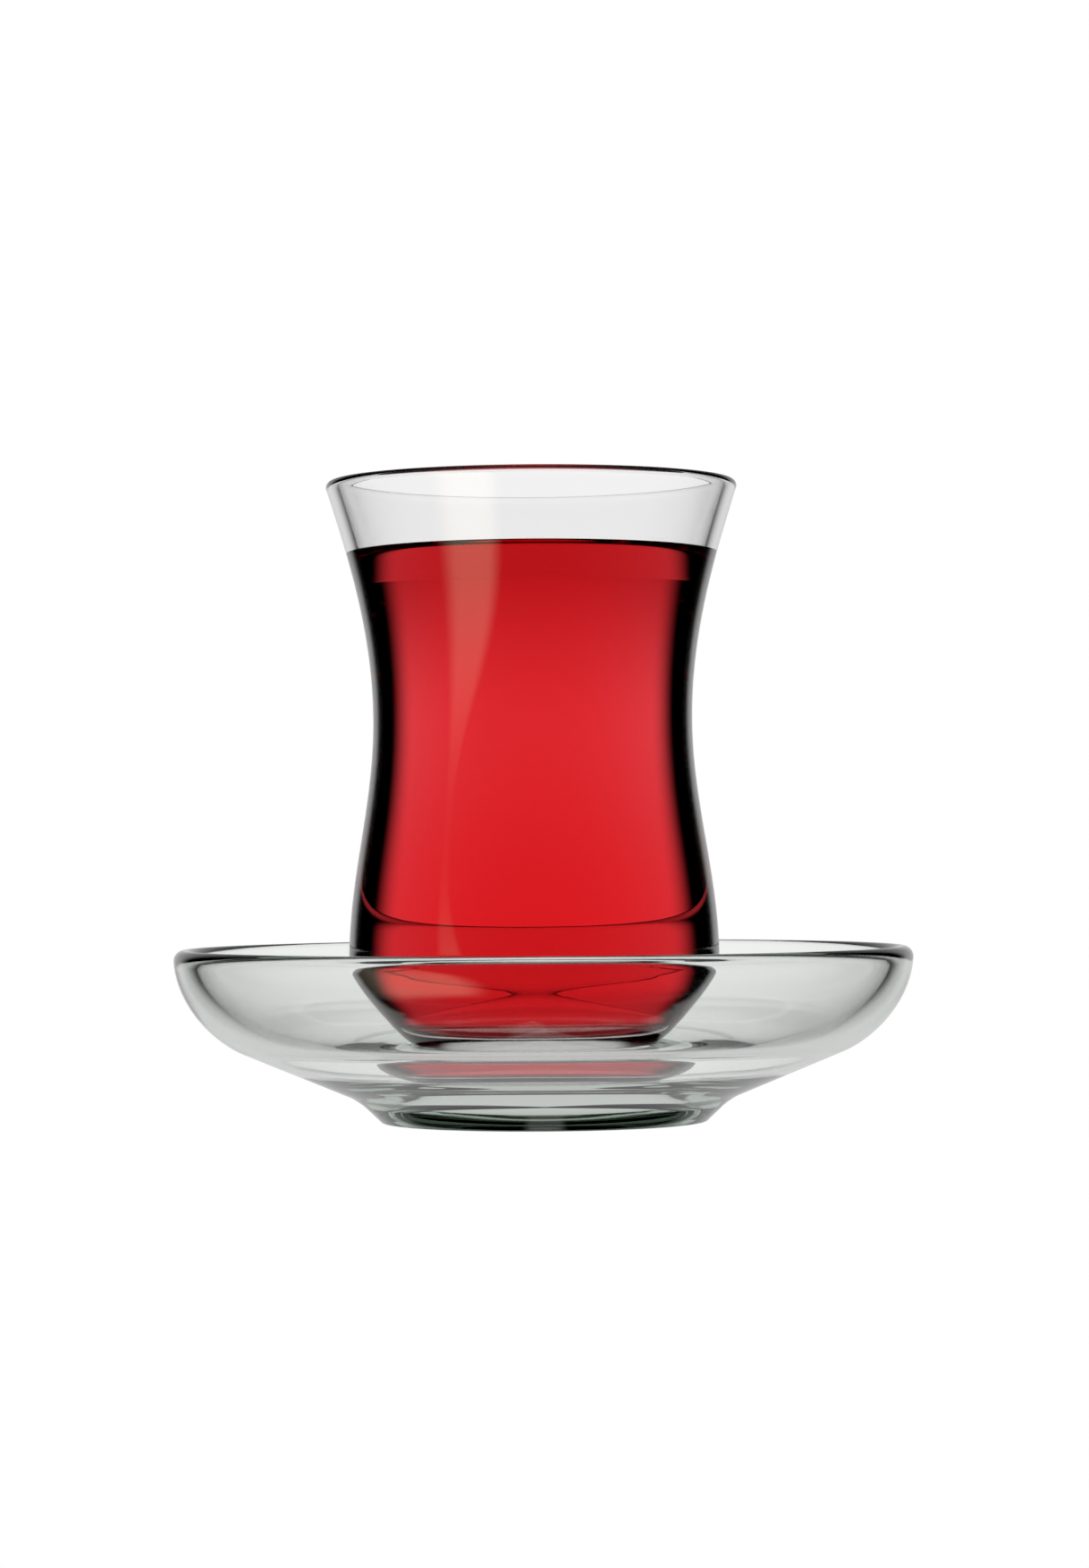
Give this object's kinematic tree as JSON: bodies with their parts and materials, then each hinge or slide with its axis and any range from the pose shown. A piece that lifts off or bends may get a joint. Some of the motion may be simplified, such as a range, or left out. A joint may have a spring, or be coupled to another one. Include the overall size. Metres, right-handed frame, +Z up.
{
  "type": "tulip-shaped tea glass with saucer",
  "caption": "Waisted clear tea glass filled with red tea to just below its rim, standing in the very shallow seat of a clear glass saucer with a round foot.",
  "frame": {"origin": "centre of the saucer's foot, on the surface it stands on; that is the bottom centre of the whole object's box", "axes": "+Z up along the saucer's axis; the glass stands a little way off that axis towards -X"},
  "size_m": [0.1128, 0.1128, 0.098],
  "materials": {
    "saucer_glass": "clear pressed glass, polished, very faint grey-green tint in its thick parts",
    "clear_glass": "clear blown glass, fire-polished",
    "tea": "clear strong black tea, deep red, still surface"
  },
  "bodies": {
    "root": {"saucer": "saucer_glass", "glass": "clear_glass", "tea": "tea"}
  },
  "joints": []
}
